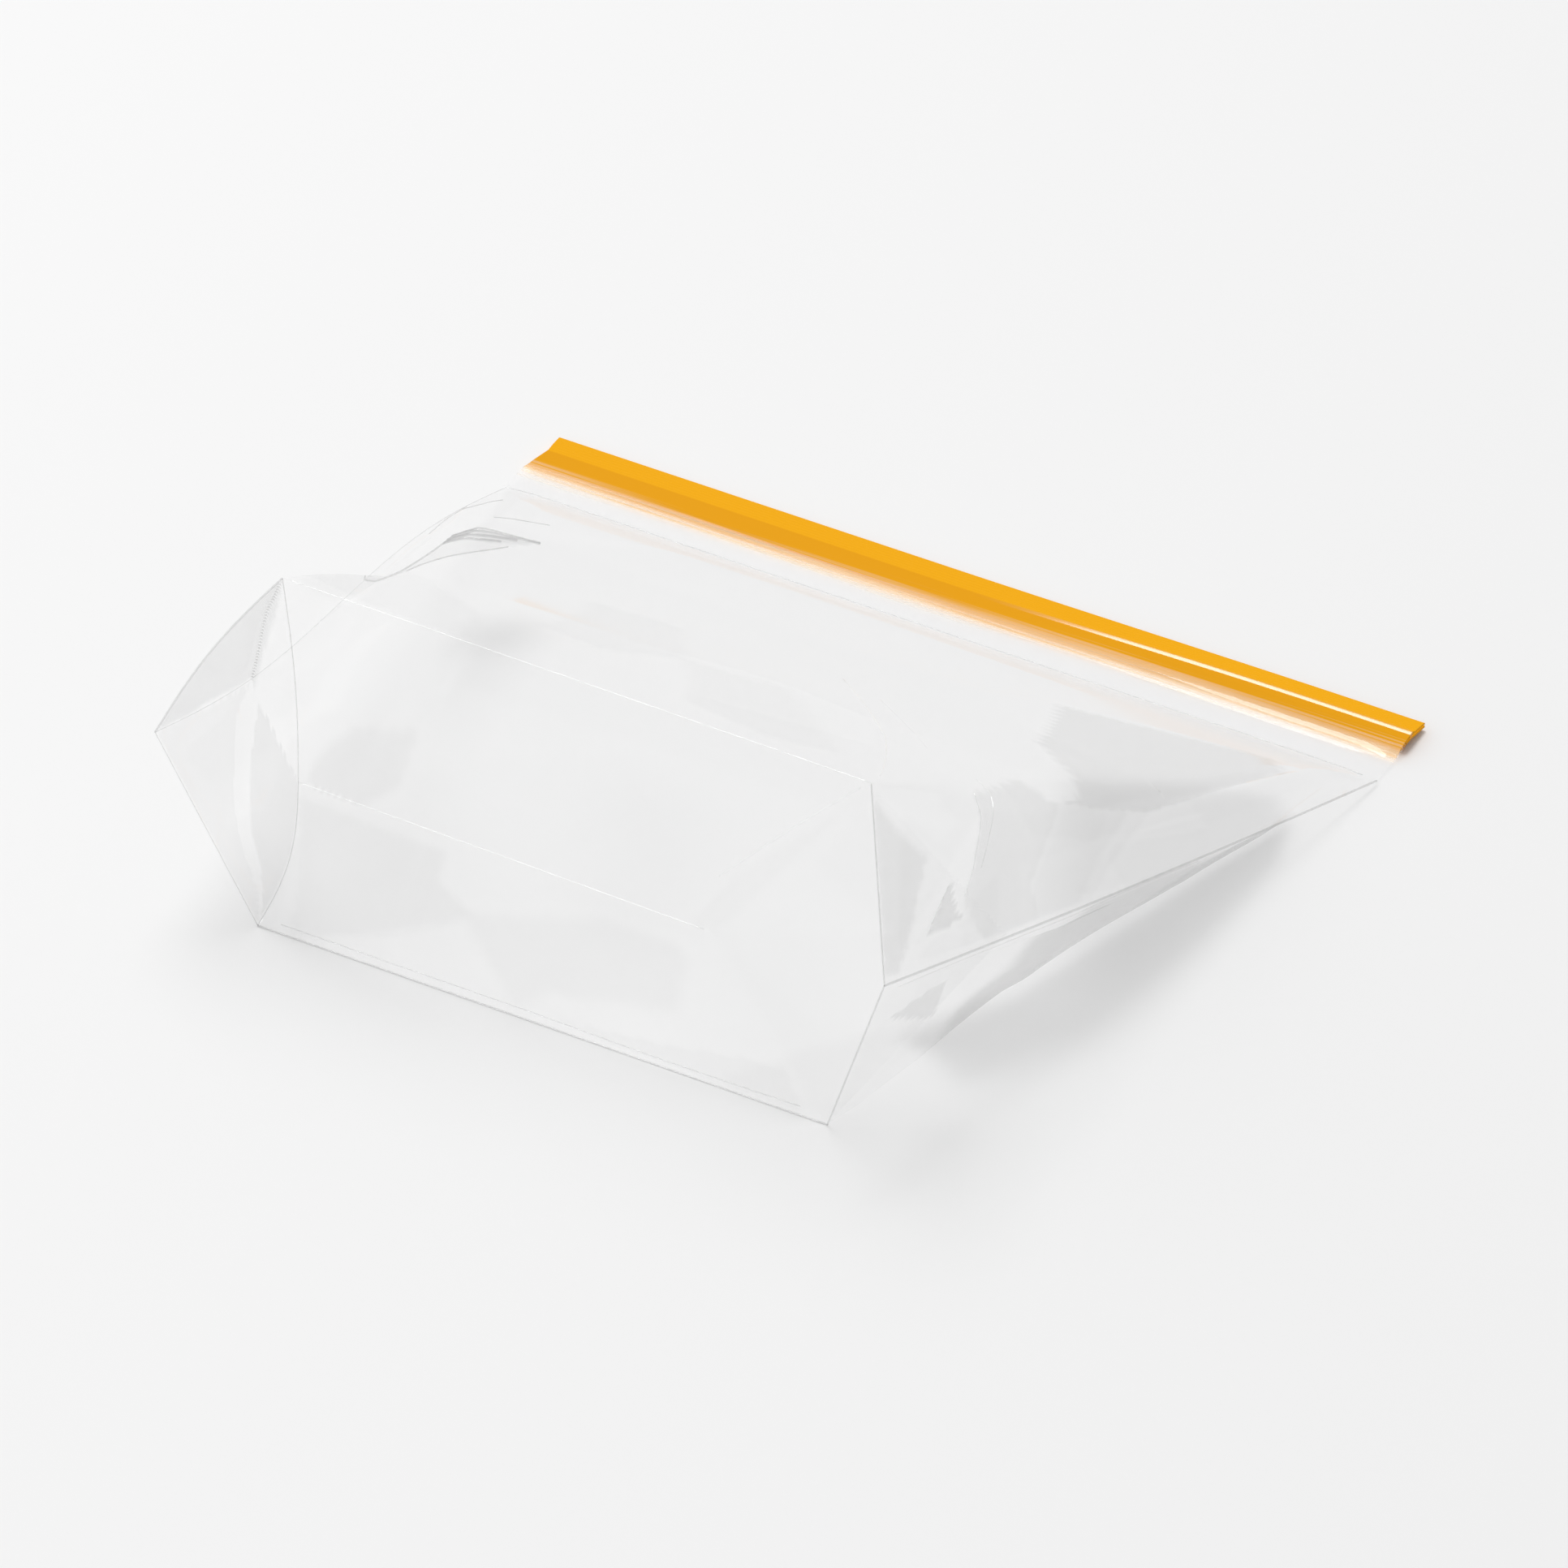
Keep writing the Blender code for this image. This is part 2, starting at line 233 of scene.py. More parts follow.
def panel_base(panel, column, along):
    """Place of a panel before its creases; column counts 0 to 3 from seam to ridge to ridge to seam."""
    corners = [seam_point(-1, along), None, None, seam_point(1, along)]
    for index, side in ((1, -1), (2, 1)):
        if panel == "front":
            start = FRONT_LEFT if side < 0 else FRONT_RIGHT
            sag = LEFT_RIDGE_SAG if side < 0 else RIGHT_RIDGE_SAG
        else:
            start = BACK_LEFT if side < 0 else BACK_RIGHT
            sag = 0.0
        height = MOUTH_THICKNESS if panel == "front" else 0.0
        end = spot(side * (BAG_WIDTH / 2 - RIDGE_END_INSET), FLANGE_Y, height)
        corners[index] = mix(start, end, along) - upward(sag * np.sin(np.pi * along) ** 2)
    corners = np.stack(corners)
    spans = corners[1:] - corners[:-1]
    lengths = np.maximum(np.linalg.norm(spans, axis=-1), 1e-9)
    segment = np.clip(column.astype(int), 0, 2)
    share = column - segment
    item = np.arange(len(column))
    where = corners[segment, item] + spans[segment, item] * share[:, None]
    reached = np.concatenate((np.zeros((1, len(column))), np.cumsum(lengths, axis=0)))
    travelled = reached[segment, item] + lengths[segment, item] * share
    rounding = RIDGE_ROUNDING_AT_BASE + (RIDGE_ROUNDING - RIDGE_ROUNDING_AT_BASE) * ease(along / 0.5)
    # At the base folds the ridges are as sharp as the gusset's corners, so the film closes there.
    rounding = np.maximum(rounding * np.clip(along / SHARP_LENGTH, 0, 1), SHARPEST)
    for bend in (1, 2):
        reach = np.minimum(rounding, 0.45 * np.minimum(lengths[bend - 1], lengths[bend]))
        left_over = np.maximum(reach - np.abs(travelled - reached[bend]), 0)
        turn = spans[bend] / lengths[bend][:, None] - spans[bend - 1] / lengths[bend - 1][:, None]
        where = where + turn * (left_over ** 2 / (4 * reach))[:, None]
    if panel == "front":
        middle = np.clip(np.sin(np.pi * np.clip(column - 1, 0, 1)), 0, 1) ** CROWN_SQUARENESS
        ridges = (LEFT_RIDGE_SAG + RIGHT_RIDGE_SAG) / 2 * np.sin(np.pi * along) ** 2
        where = where + upward((ridges - PANEL_DROP * (along - along ** 4)) * middle)
    return where


def corner_bow(column, nearness):
    """The upper left edge of the base bows out a little between its two corners."""
    return (np.sin(np.pi * np.clip(column, 0, 1)) * nearness)[:, None] * np.array(LEFT_CORNER_BOW)


def lifted(where):
    """Raise places beside the closure with its right half, most under the track of the closure."""
    x, y = where[..., 0], where[..., 1]
    near = ease((y - 0.0955) / (0.1045 - 0.0955)) * (1 - 0.62 * np.clip((y - 0.1062) / 0.008, 0, 1))
    return where + upward(CLOSURE_LIFT * ease((x + 0.01) / 0.125) * near)


# Dents pressed into the panels: peak, corners round it (across, along, as shares of the panel)
# and height outwards. Each makes a shallow pyramid with a crease from its peak to every corner.
DENTS = {
    "front": (
        ((0.66, 0.62), ((0.58, 0.84), (0.653, 0.93), (0.78, 0.62), (0.74, 0.36), (0.61, 0.58)), -0.0012),
        ((0.75, 0.76), ((0.655, 0.93), (0.88, 0.84), (0.82, 0.50), (0.71, 0.58)), 0.0014),
        ((0.83, 0.12), ((0.99, 0.02), (0.93, 0.17), (0.70, 0.24), (0.69, 0.05)), 0.0035),
        ((0.93, 0.13), ((0.99, 0.02), (0.985, 0.22), (0.84, 0.24), (0.84, 0.12)), -0.0025),
    ),
    "upper": (
        ((0.60, 0.55), ((0.667, 1.0), (0.66, 0.20), (0.55, 0.05), (0.52, 0.50)), 0.0016),
        ((0.42, 0.50), ((0.36, 0.90), (0.50, 0.70), (0.49, 0.10), (0.37, 0.20)), -0.0010),
    ),
    "lower": (
        ((0.475, 0.60), ((0.455, 0.30), (0.44, 0.85), (0.50, 0.97), (0.52, 0.60)), -0.0014),
        ((0.57, 0.78), ((0.50, 0.62), (0.52, 0.95), (0.64, 0.97), (0.62, 0.72)), 0.0015),
        ((0.385, 0.50), ((0.345, 0.20), (0.35, 0.80), (0.42, 0.85), (0.43, 0.30)), 0.0010),
    ),
    "back": (
        ((0.90, 0.35), ((0.97, 0.20), (0.93, 0.50), (0.84, 0.52), (0.84, 0.30)), -0.0030),
        ((0.09, 0.42), ((0.03, 0.25), (0.16, 0.30), (0.15, 0.60), (0.05, 0.55)), -0.0030),
    ),
}


def dent_height(panel, across, along):
    """Sum of the dents of a panel at each place."""
    total = np.zeros_like(across)
    size = np.array((BAG_WIDTH, FOOTPRINT if panel in ("front", "back") else GUSSET_LEAF))
    here = np.stack((across, along), axis=-1) * size
    for peak, corners, height in DENTS[panel]:
        peak = np.array(peak) * size
        ring = [np.array(corner) * size for corner in corners]
        for first, second in zip(ring, ring[1:] + ring[:1]):
            a, b = first - peak, second - peak
            turn = a[0] * b[1] - a[1] * b[0]
            offset = here - peak
            on_a = (offset[:, 0] * b[1] - offset[:, 1] * b[0]) / turn
            on_b = (a[0] * offset[:, 1] - a[1] * offset[:, 0]) / turn
            inside = (on_a >= 0) & (on_b >= 0) & (on_a + on_b <= 1)
            total += np.where(inside, height * (1 - on_a - on_b), 0)
    return total


# Flat facets of the stretched film: seeds of the facets on a loose lattice (columns, rows) with
# the bend between neighbours (per metre) and how much their milkiness differs.
FACETS = {"front": (7, 5, 0.25, 0.12), "back": (6, 5, 1.0, 0.05),
          "upper": (7, 2, 0.7, 0.05), "lower": (7, 2, 0.9, 0.08)}

# Places where the film is made denser, which dims it and the light it lets through. A few stand for film lying
# doubled; most are painted shade over the shadow on the floor beneath, and round a clear gap that reads as a
# highlight. Outline (across, along, as shares of the panel), density and how soft its edge is.
DOUBLED_AND_SHADED = {
    "front": (
        (((0.580, 0.833), (0.653, 0.917), (0.753, 0.558), (0.680, 0.392), (0.613, 0.592)), 1.15, 1),
        # painted shade on the right side, dense enough to darken the shadow it casts below
        (((0.680, 0.392), (0.740, 0.520), (0.860, 0.440), (0.985, 0.380), (0.985, 0.300), (0.900, 0.290)), 0.38, 3),
        # these two: painted shade on the right side panel, where the floor behind it lies in shadow
        (((0.667, 0.217), (0.653, 0.350), (0.680, 0.392), (0.753, 0.558), (0.987, 0.400), (0.990, 0.150),
          (0.893, 0.167)), 0.15, 1),
        (((0.667, 0.217), (0.653, 0.350), (0.680, 0.392), (0.900, 0.290), (0.985, 0.300), (0.985, 0.190),
          (0.893, 0.167)), 0.50, 1),
        (((0.940, 0.092), (0.938, 0.165), (0.850, 0.122)), 0.95, 0),
        (((0.690, 0.000), (0.800, 0.083), (0.985, 0.030), (0.985, 0.005)), 0.65, 1),
        (((0.340, 0.250), (0.300, 0.480), (0.253, 0.708), (0.360, 0.767), (0.353, 0.700), (0.333, 0.458)), 0.50, 0),
        (((0.255, 0.690), (0.335, 0.738), (0.360, 0.767), (0.345, 0.690), (0.268, 0.652)), 1.30, 1),
        (((0.433, 0.275), (0.413, 0.550), (0.453, 0.558), (0.487, 0.367), (0.467, 0.242)), 0.30, 5),
        (((0.487, 0.367), (0.533, 0.392), (0.620, 0.108), (0.593, 0.058), (0.540, 0.108)), 0.30, 5),
        (((0.300, 0.108), (0.167, 0.475), (0.340, 0.400), (0.407, 0.217), (0.440, 0.025), (0.380, 0.025)), 0.30, 3),
    ),
    "upper": (
        (((0.000, 1.0), (0.333, 1.0), (0.253, 0.667), (0.020, 0.000)), 0.75, 1),
        (((0.347, 0.133), (0.373, 0.367), (0.420, 0.467), (0.413, 0.167), (0.387, 0.0), (0.340, 0.0)), 0.40, 3),
        (((0.647, 0.267), (0.673, 0.967), (0.673, 0.0), (0.650, 0.0)), 0.15, 2),
    ),
    "lower": (
        # these two: painted shade round a clear gap in the left tuck, so that the gap reads as the highlight along
        # its crease
        (((0.060, 0.0), (0.120, 0.233), (0.275, 0.700), (0.330, 0.950), (0.333, 1.0), (0.333, 0.0)), 0.60, 0),
        (((0.0, 0.02), (0.047, 0.233), (0.173, 0.633), (0.280, 0.833), (0.333, 1.0), (0.0, 1.0)), 0.25, 0),
        (((0.333, 0.100), (0.453, 0.100), (0.447, 0.300), (0.467, 0.467), (0.400, 0.800), (0.353, 1.0),
          (0.340, 0.500)), 0.40, 3),
        (((0.460, 0.467), (0.573, 0.167), (0.633, 0.167), (0.600, 0.600), (0.513, 0.767), (0.487, 0.967)), 0.28, 6),
        (((0.507, 0.933), (0.593, 0.800), (0.660, 0.733), (0.653, 1.0)), 0.20, 1),
    ),
    "back": (
        (((0.913, 0.033), (0.827, 0.142), (0.940, 0.133)), 0.80, 0),
        # painted shade: the dark core of the shadow along the right side, both in the film and in the light it lets
        # through to the floor
        (((0.650, 0.200), (0.675, 0.420), (0.705, 0.720), (0.760, 0.860), (0.930, 0.800), (0.985, 0.600),
          (0.985, 0.420), (0.800, 0.200)), 1.45, 16),
        # painted shade: that shadow carried on towards the base tip
        (((0.600, 0.010), (0.665, 0.350), (0.985, 0.420), (0.985, 0.010)), 0.15, 6),
    ),
}


def in_outline(corners, across, along):
    """1 inside a polygon and 0 outside it, by the even-odd rule."""
    inside = np.zeros(across.shape, dtype=bool)
    for (x0, y0), (x1, y1) in zip(corners, corners[1:] + corners[:1]):
        if y0 != y1:
            crosses = (y0 > along) != (y1 > along)
            inside ^= crosses & (across < x0 + (along - y0) * (x1 - x0) / (y1 - y0))
    return inside.astype(float)


def facet_relief(panel, across, along):
    """Height that turns a panel's smooth bulge into flat facets, and the milkiness of each facet."""
    columns, rows, bend, milkiest = FACETS[panel]
    size = np.array((BAG_WIDTH, FOOTPRINT if panel in ("front", "back") else GUSSET_LEAF))
    chance = np.random.default_rng(sorted(FACETS).index(panel) + 5)
    nearest = np.full(across.shape, np.inf)
    milkiness = np.zeros(across.shape)
    for column in range(columns):
        for row in range(rows):
            seed = (np.array((column, row)) + chance.uniform(0.12, 0.88, 2)) / (columns, rows)
            own_milkiness = chance.uniform(0, milkiest)
            distance = ((across - seed[0]) * size[0]) ** 2 + ((along - seed[1]) * size[1]) ** 2
            milkiness = np.where(distance < nearest, own_milkiness, milkiness)
            nearest = np.minimum(nearest, distance)
    return bend * nearest, milkiness


def density_and_shade(panel, across, along, shape, milkiness):
    """Density of the film at each place of a grid: the milkiness of its facets, plus the doubled film and painted
    shade of the dense places.
    """
    total = blur(milkiness.reshape(shape), 1)
    for corners, amount, softness in DOUBLED_AND_SHADED[panel]:
        total = total + blur(amount * in_outline(corners, across, along).reshape(shape), softness)
    return total


SIDE_COLUMNS = 38
MIDDLE_COLUMNS = 118
PANEL_ROWS = 150
FLANGE_ROWS = 10
COLUMNS = np.concatenate((np.linspace(0, 1, SIDE_COLUMNS, endpoint=False),
                          np.linspace(1, 2, MIDDLE_COLUMNS, endpoint=False),
                          np.linspace(2, 3, SIDE_COLUMNS + 1)))


def blur(grid, times):
    """Soften a height grid a little, so that its creases have a small radius."""
    for _ in range(times):
        padded = np.pad(grid, 1, mode="edge")
        grid = (padded[:-2, 1:-1] + padded[2:, 1:-1] + padded[1:-1, :-2] + padded[1:-1, 2:] + 4 * grid) / 8
    return grid


def panel_grid(panel):
    """Places of a panel's film, from its base fold to its end under the tapes, and its density of doubled film and
    painted shade.
    """
    rows = np.linspace(0, 1, PANEL_ROWS + 1)
    along, column = np.meshgrid(rows, COLUMNS, indexing="ij")
    shape = along.shape
    along, column = along.ravel(), column.ravel()
    where = panel_base(panel, column, along)
    step = 1e-4
    across_way = (panel_base(panel, np.minimum(column + step, 3), along)
                  - panel_base(panel, np.maximum(column - step, 0), along))
    along_way = (panel_base(panel, column, np.minimum(along + step, 1))
                 - panel_base(panel, column, np.maximum(along - step, 0)))
    outward = np.cross(across_way, along_way)
    outward /= np.maximum(np.linalg.norm(outward, axis=-1), 1e-12)[:, None]
    if panel == "back":
        outward = -outward
    relief, milkiness = facet_relief(panel, column / 3, along)
    height = blur((relief + dent_height(panel, column / 3, along)).reshape(shape), 1).ravel()
    height *= np.clip(np.sin(np.pi * column / 3) * 8, 0, 1) * ease(along / 0.05) * ease((1 - along) / 0.06)
    where = where + outward * height[:, None]
    if panel == "back":
        where[:, 2] = np.maximum(where[:, 2], 0)
    else:
        where = where + corner_bow(column, ease(1 - along / 0.35))
    grid = where.reshape(shape + (3,))
    density = density_and_shade(panel, column / 3, along, shape, milkiness)
    flange = []
    over_back = FRONT_OVER_BACK * ease(np.minimum(COLUMNS, 3 - COLUMNS) / 0.3) if panel == "front" else 0
    level = UNDER_TAPES_Z + over_back
    for step_share in np.linspace(0, 1, FLANGE_ROWS)[1:]:
        row = grid[-1] + np.array((0, FLANGE_REACH * step_share, 0))
        row[:, 2] += (level - row[:, 2]) * ease((step_share - 0.55) / 0.45)
        flange.append(row)
    flange.append(flange[-1] * (1, 1, 0) + (0, 0, UNDER_TAPES_Z))
    density = np.concatenate((density, np.zeros((FLANGE_ROWS, shape[1]))))
    return lifted(np.concatenate((grid, np.stack(flange)))), density


def gusset_corners(side, upper):
    """Apex of the tuck, its fold point on the base, the base corner and the tip, on one side."""
    tip = TIP_LEFT if side < 0 else TIP_RIGHT
    back = BACK_LEFT if side < 0 else BACK_RIGHT
    front = FRONT_LEFT if side < 0 else FRONT_RIGHT
    tuck = LEFT_TUCK if side < 0 else RIGHT_TUCK
    fold_height = LEFT_FOLD_HEIGHT if side < 0 else RIGHT_FOLD_HEIGHT
    end = seam_point(side, 1.0)
    apex = seam_point(side, GUSSET_LEAF / np.linalg.norm(end - tip)) - spot(side * POCKET_INSET, 0, 0)
    fold = mix(back, front, fold_height / BASE_HEIGHT) - spot(side * tuck, 0, 0)
    return apex, fold, front if upper else back, tip


def gusset_place(upper, column, up):
    """Place of the gusset's film from its middle fold (up = 0) to a base fold (up = 1)."""
    where = np.zeros((len(column), 3))
    for side in (-1, 1):
        apex, fold, corner, tip = gusset_corners(side, upper)
        across = column if side < 0 else 3 - column
        inner = apex + (fold - apex) * across[:, None] + (corner - fold) * up[:, None]
        outer = apex + (tip - apex) * up[:, None] + (corner - tip) * across[:, None]
        here = np.where((across >= up)[:, None], inner, outer)
        where = np.where((across <= 1)[:, None], here, where)
    edges = []
    for side in (-1, 1):
        _, fold, corner, _ = gusset_corners(side, upper)
        edges.append(mix(fold, corner, up))
    middle = mix(edges[0], edges[1], column - 1)
    return np.where(((column > 1) & (column < 2))[:, None], middle, where)


def leaf_grid(upper):
    """Places of one leaf of the gusset, from its middle fold to its base fold, and its density of doubled film and
    painted shade.
    """
    rows = np.linspace(0, 1, SIDE_COLUMNS + 1)
    up, column = np.meshgrid(rows, COLUMNS, indexing="ij")
    shape = up.shape
    up, column = up.ravel(), column.ravel()
    where = gusset_place(upper, column, up)
    leaf = "upper" if upper else "lower"
    relief, milkiness = facet_relief(leaf, column / 3, up)
    height = blur((relief + dent_height(leaf, column / 3, up)).reshape(shape), 1).ravel()
    height *= ease((column - 1) / 0.08) * ease((2 - column) / 0.08) * ease(up / 0.1) * ease((1 - up) / 0.1)
    where[:, 1] -= height
    # The tucked end on the left is pushed open: its slanting crease and its fold line both bow.
    open_left = np.sin(np.pi * np.clip(up, 0, 1)) * (column < 1.4)
    slant = np.clip(1 - np.abs(column - up) / 0.35, 0, 1) * ease(column / 0.08) * (0 if upper else 1)
    fold = np.clip(1 - np.abs(column - 1) / 0.30, 0, 1)
    fold_bow = LEFT_FOLD_BOW * fold * (0.4 if upper else 1)
    where[:, 0] += open_left * (fold_bow - LEFT_CREASE_BOW * slant * (1 - fold))
    if upper:
        where = where + corner_bow(column, ease(up))
    return where.reshape(shape + (3,)), density_and_shade(leaf, column / 3, up, shape, milkiness)


def skin(name, grids, densities=()):
    """One mesh from several grids of places, each quad split along its shorter diagonal."""
    places, faces, start = [], [], 0
    for grid, flip in grids:
        rows, columns = grid.shape[:2]
        index = np.arange(rows * columns).reshape(rows, columns) + start
        a, b, c, d = index[:-1, :-1], index[:-1, 1:], index[1:, 1:], index[1:, :-1]
        flat = grid.reshape(-1, 3)
        pa, pb, pc, pd = (flat[item.ravel() - start] for item in (a, b, c, d))
        one = np.linalg.norm(pa - pc, axis=-1) - np.linalg.norm(pb - pd, axis=-1)
        # The first row's two end quads follow the creases of the tucks that end in them. Split the
        # other way, both leaves of the gusset would hold the same triangle there.
        one[0], one[columns - 2] = -1, 1
        first = (one <= 0)[:, None]
        quad = np.stack([item.ravel() for item in (a, b, c, d)], axis=-1)
        tri_one = np.where(first, quad[:, (0, 1, 2)], quad[:, (0, 1, 3)])
        tri_two = np.where(first, quad[:, (0, 2, 3)], quad[:, (1, 2, 3)])
        both = np.concatenate((tri_one, tri_two))
        faces.append(both[:, ::-1] if flip else both)
        places.append(flat)
        start += rows * columns
    mesh = bpy.data.meshes.new(name)
    mesh.from_pydata(np.concatenate(places).tolist(), [], np.concatenate(faces).tolist())
    if densities:
        density = mesh.attributes.new("density_and_shade", "FLOAT", "POINT")
        values = np.concatenate([item.ravel() for item in densities]).astype(np.float32)
        density.data.foreach_set("value", values)
    piece = bpy.data.objects.new(name, mesh)
    bpy.context.scene.collection.objects.link(piece)
    return piece


def only(piece):
    """Select one piece and make it active."""
    bpy.ops.object.select_all(action="DESELECT")
    piece.select_set(True)
    bpy.context.view_layer.objects.active = piece


GRIDS = {"front": panel_grid("front"), "back": panel_grid("back"),
         "upper": leaf_grid(True), "lower": leaf_grid(False)}
film = skin("film", [(GRIDS["front"][0], False), (GRIDS["back"][0], True),
                     (GRIDS["upper"][0], True), (GRIDS["lower"][0], False)],
            [GRIDS[panel][1] for panel in ("front", "back", "upper", "lower")])
only(film)
bpy.ops.object.mode_set(mode="EDIT")
bpy.ops.mesh.select_all(action="SELECT")
bpy.ops.mesh.remove_doubles(threshold=0.000002)
bpy.ops.mesh.normals_make_consistent(inside=False)
bpy.ops.object.mode_set(mode="OBJECT")
bpy.ops.object.shade_smooth_by_angle(angle=math.radians(24))


GLANCING_MIRROR = 0.21        # share of mirror where the film is seen edge on
GLANCING_POWER = 4.6
DOUBLING_AND_SHADE_DIMMING = -0.12         # what one unit of density, doubled film and painted shade, takes from the light let through
DOUBLING_AND_SHADE_MILKINESS = 0.12        # and what it adds in haze
MILK_COLOUR = (0.93, 0.93, 0.93, 1)


def clear_film(name, base_reflection, haze, roughness, tint=1.0):
    """Thin clear film: see-through, mirror-like at a glance, milkier and dimmer where it is dense, which is partly
    doubled film and partly painted shade.
    """
    material = bpy.data.materials.new(name)
    material.use_nodes = True
    tree = material.node_tree
    tree.nodes.clear()
    facing = tree.nodes.new("ShaderNodeLayerWeight")
    facing.inputs["Blend"].default_value = 0.5
    power = tree.nodes.new("ShaderNodeMath")
    power.operation = "POWER"
    power.inputs[1].default_value = GLANCING_POWER
    tree.links.new(facing.outputs["Facing"], power.inputs[0])
    share = tree.nodes.new("ShaderNodeMath")
    share.operation = "MULTIPLY_ADD"
    share.inputs[1].default_value = max(GLANCING_MIRROR - base_reflection, 0)
    share.inputs[2].default_value = base_reflection
    tree.links.new(power.outputs[0], share.inputs[0])
    through = tree.nodes.new("ShaderNodeBsdfTransparent")
    # The density read here is doubled film and painted shade; it dims the film and the light let through.
    density = tree.nodes.new("ShaderNodeAttribute")
    density.attribute_name = "density_and_shade"
    dimming = tree.nodes.new("ShaderNodeMath")
    dimming.operation = "MULTIPLY_ADD"
    dimming.inputs[1].default_value = DOUBLING_AND_SHADE_DIMMING
    dimming.inputs[2].default_value = tint
    tree.links.new(density.outputs["Fac"], dimming.inputs[0])
    tree.links.new(dimming.outputs[0], through.inputs["Color"])
    milk = tree.nodes.new("ShaderNodeBsdfDiffuse")
    milk.inputs["Color"].default_value = MILK_COLOUR
    milkiness = tree.nodes.new("ShaderNodeMath")
    milkiness.operation = "MULTIPLY_ADD"
    milkiness.inputs[1].default_value = DOUBLING_AND_SHADE_MILKINESS
    milkiness.inputs[2].default_value = haze
    tree.links.new(density.outputs["Fac"], milkiness.inputs[0])
    body = tree.nodes.new("ShaderNodeMixShader")
    tree.links.new(milkiness.outputs[0], body.inputs["Fac"])
    tree.links.new(through.outputs[0], body.inputs[1])
    tree.links.new(milk.outputs[0], body.inputs[2])
    mirror = tree.nodes.new("ShaderNodeBsdfGlossy")
    mirror.inputs["Roughness"].default_value = roughness
    mirror.inputs["Color"].default_value = (1, 1, 1, 1)
    mixed = tree.nodes.new("ShaderNodeMixShader")
    tree.links.new(share.outputs[0], mixed.inputs["Fac"])
    tree.links.new(body.outputs[0], mixed.inputs[1])
    tree.links.new(mirror.outputs[0], mixed.inputs[2])
    out = tree.nodes.new("ShaderNodeOutputMaterial")
    tree.links.new(mixed.outputs[0], out.inputs["Surface"])
    return material


CLEAR = clear_film("clear_film", 0.030, 0.007, 0.06)
film.data.materials.append(CLEAR)
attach(film, "root")
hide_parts("film_pouch")

# ---------------------------------------------------------------------------------------------
# Welds and folds: the weld bead down each side, and the hard folds pressed into the film web.
# They are formed in the film itself, and stand here as fine closed beads on it.
# ---------------------------------------------------------------------------------------------
LEFT_WELD_RADIUS = 0.00008
RIGHT_WELD_RADIUS = 0.00030
FOLD_SAMPLES = 60


def line(name, places, radius):
    """A thin bead through places, ready to be joined with others."""
    curve = bpy.data.curves.new(name, "CURVE")
    curve.dimensions = "3D"
    curve.bevel_depth = radius
    curve.bevel_resolution = 1
    curve.use_fill_caps = True
    spline = curve.splines.new("POLY")
    spline.points.add(len(places) - 1)
    for item, where in zip(spline.points, places):
        item.co = (*where, 1)
    piece = bpy.data.objects.new(name, curve)
    bpy.context.scene.collection.objects.link(piece)
    only(piece)
    bpy.ops.object.convert(target="MESH")
    return bpy.context.object


def joined(name, parts, material):
    """Several beads as one piece, their end caps merged with their sides."""
    only(parts[0])
    for part in parts:
        part.select_set(True)
    if len(parts) > 1:
        bpy.ops.object.join()
    piece = bpy.context.object
    piece.name = name
    bpy.ops.object.mode_set(mode="EDIT")
    bpy.ops.mesh.select_all(action="SELECT")
    bpy.ops.mesh.remove_doubles(threshold=0.000001)
    bpy.ops.object.mode_set(mode="OBJECT")
    bpy.ops.object.shade_smooth()
    piece.data.materials.clear()
    piece.data.materials.append(material)
    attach(piece, "root")
    return piece


def on_film(panel, corners):
    """Places on the film along a path of (across, along) corners of one panel."""
    grid = GRIDS[panel][0]
    rows = grid.shape[0] - (FLANGE_ROWS if panel in ("front", "back") else 0)
    corners = np.array(corners, dtype=float)
    steps = np.linspace(0, len(corners) - 1, FOLD_SAMPLES)
    across = np.interp(steps, np.arange(len(corners)), corners[:, 0]) * 3
    level = np.interp(steps, np.arange(len(corners)), corners[:, 1]) * (rows - 1)
    column = np.interp(across, COLUMNS, np.arange(len(COLUMNS)))
    left = np.clip(column.astype(int), 0, grid.shape[1] - 2)
    below = np.clip(level.astype(int), 0, grid.shape[0] - 2)
    fx, fy = (column - left)[:, None], (level - below)[:, None]
    return ((grid[below, left] * (1 - fx) + grid[below, left + 1] * fx) * (1 - fy)
            + (grid[below + 1, left] * (1 - fx) + grid[below + 1, left + 1] * fx) * fy)


WELD_FILM = clear_film("welded_film", 0.06, 0.03, 0.15, 0.90)
along = np.linspace(0, 1, 120)
for side, name in ((-1, "weld_left"), (1, "weld_right")):
    bead = line(name, lifted(seam_point(side, along)), LEFT_WELD_RADIUS if side < 0 else RIGHT_WELD_RADIUS)
    joined(name, [bead], WELD_FILM)

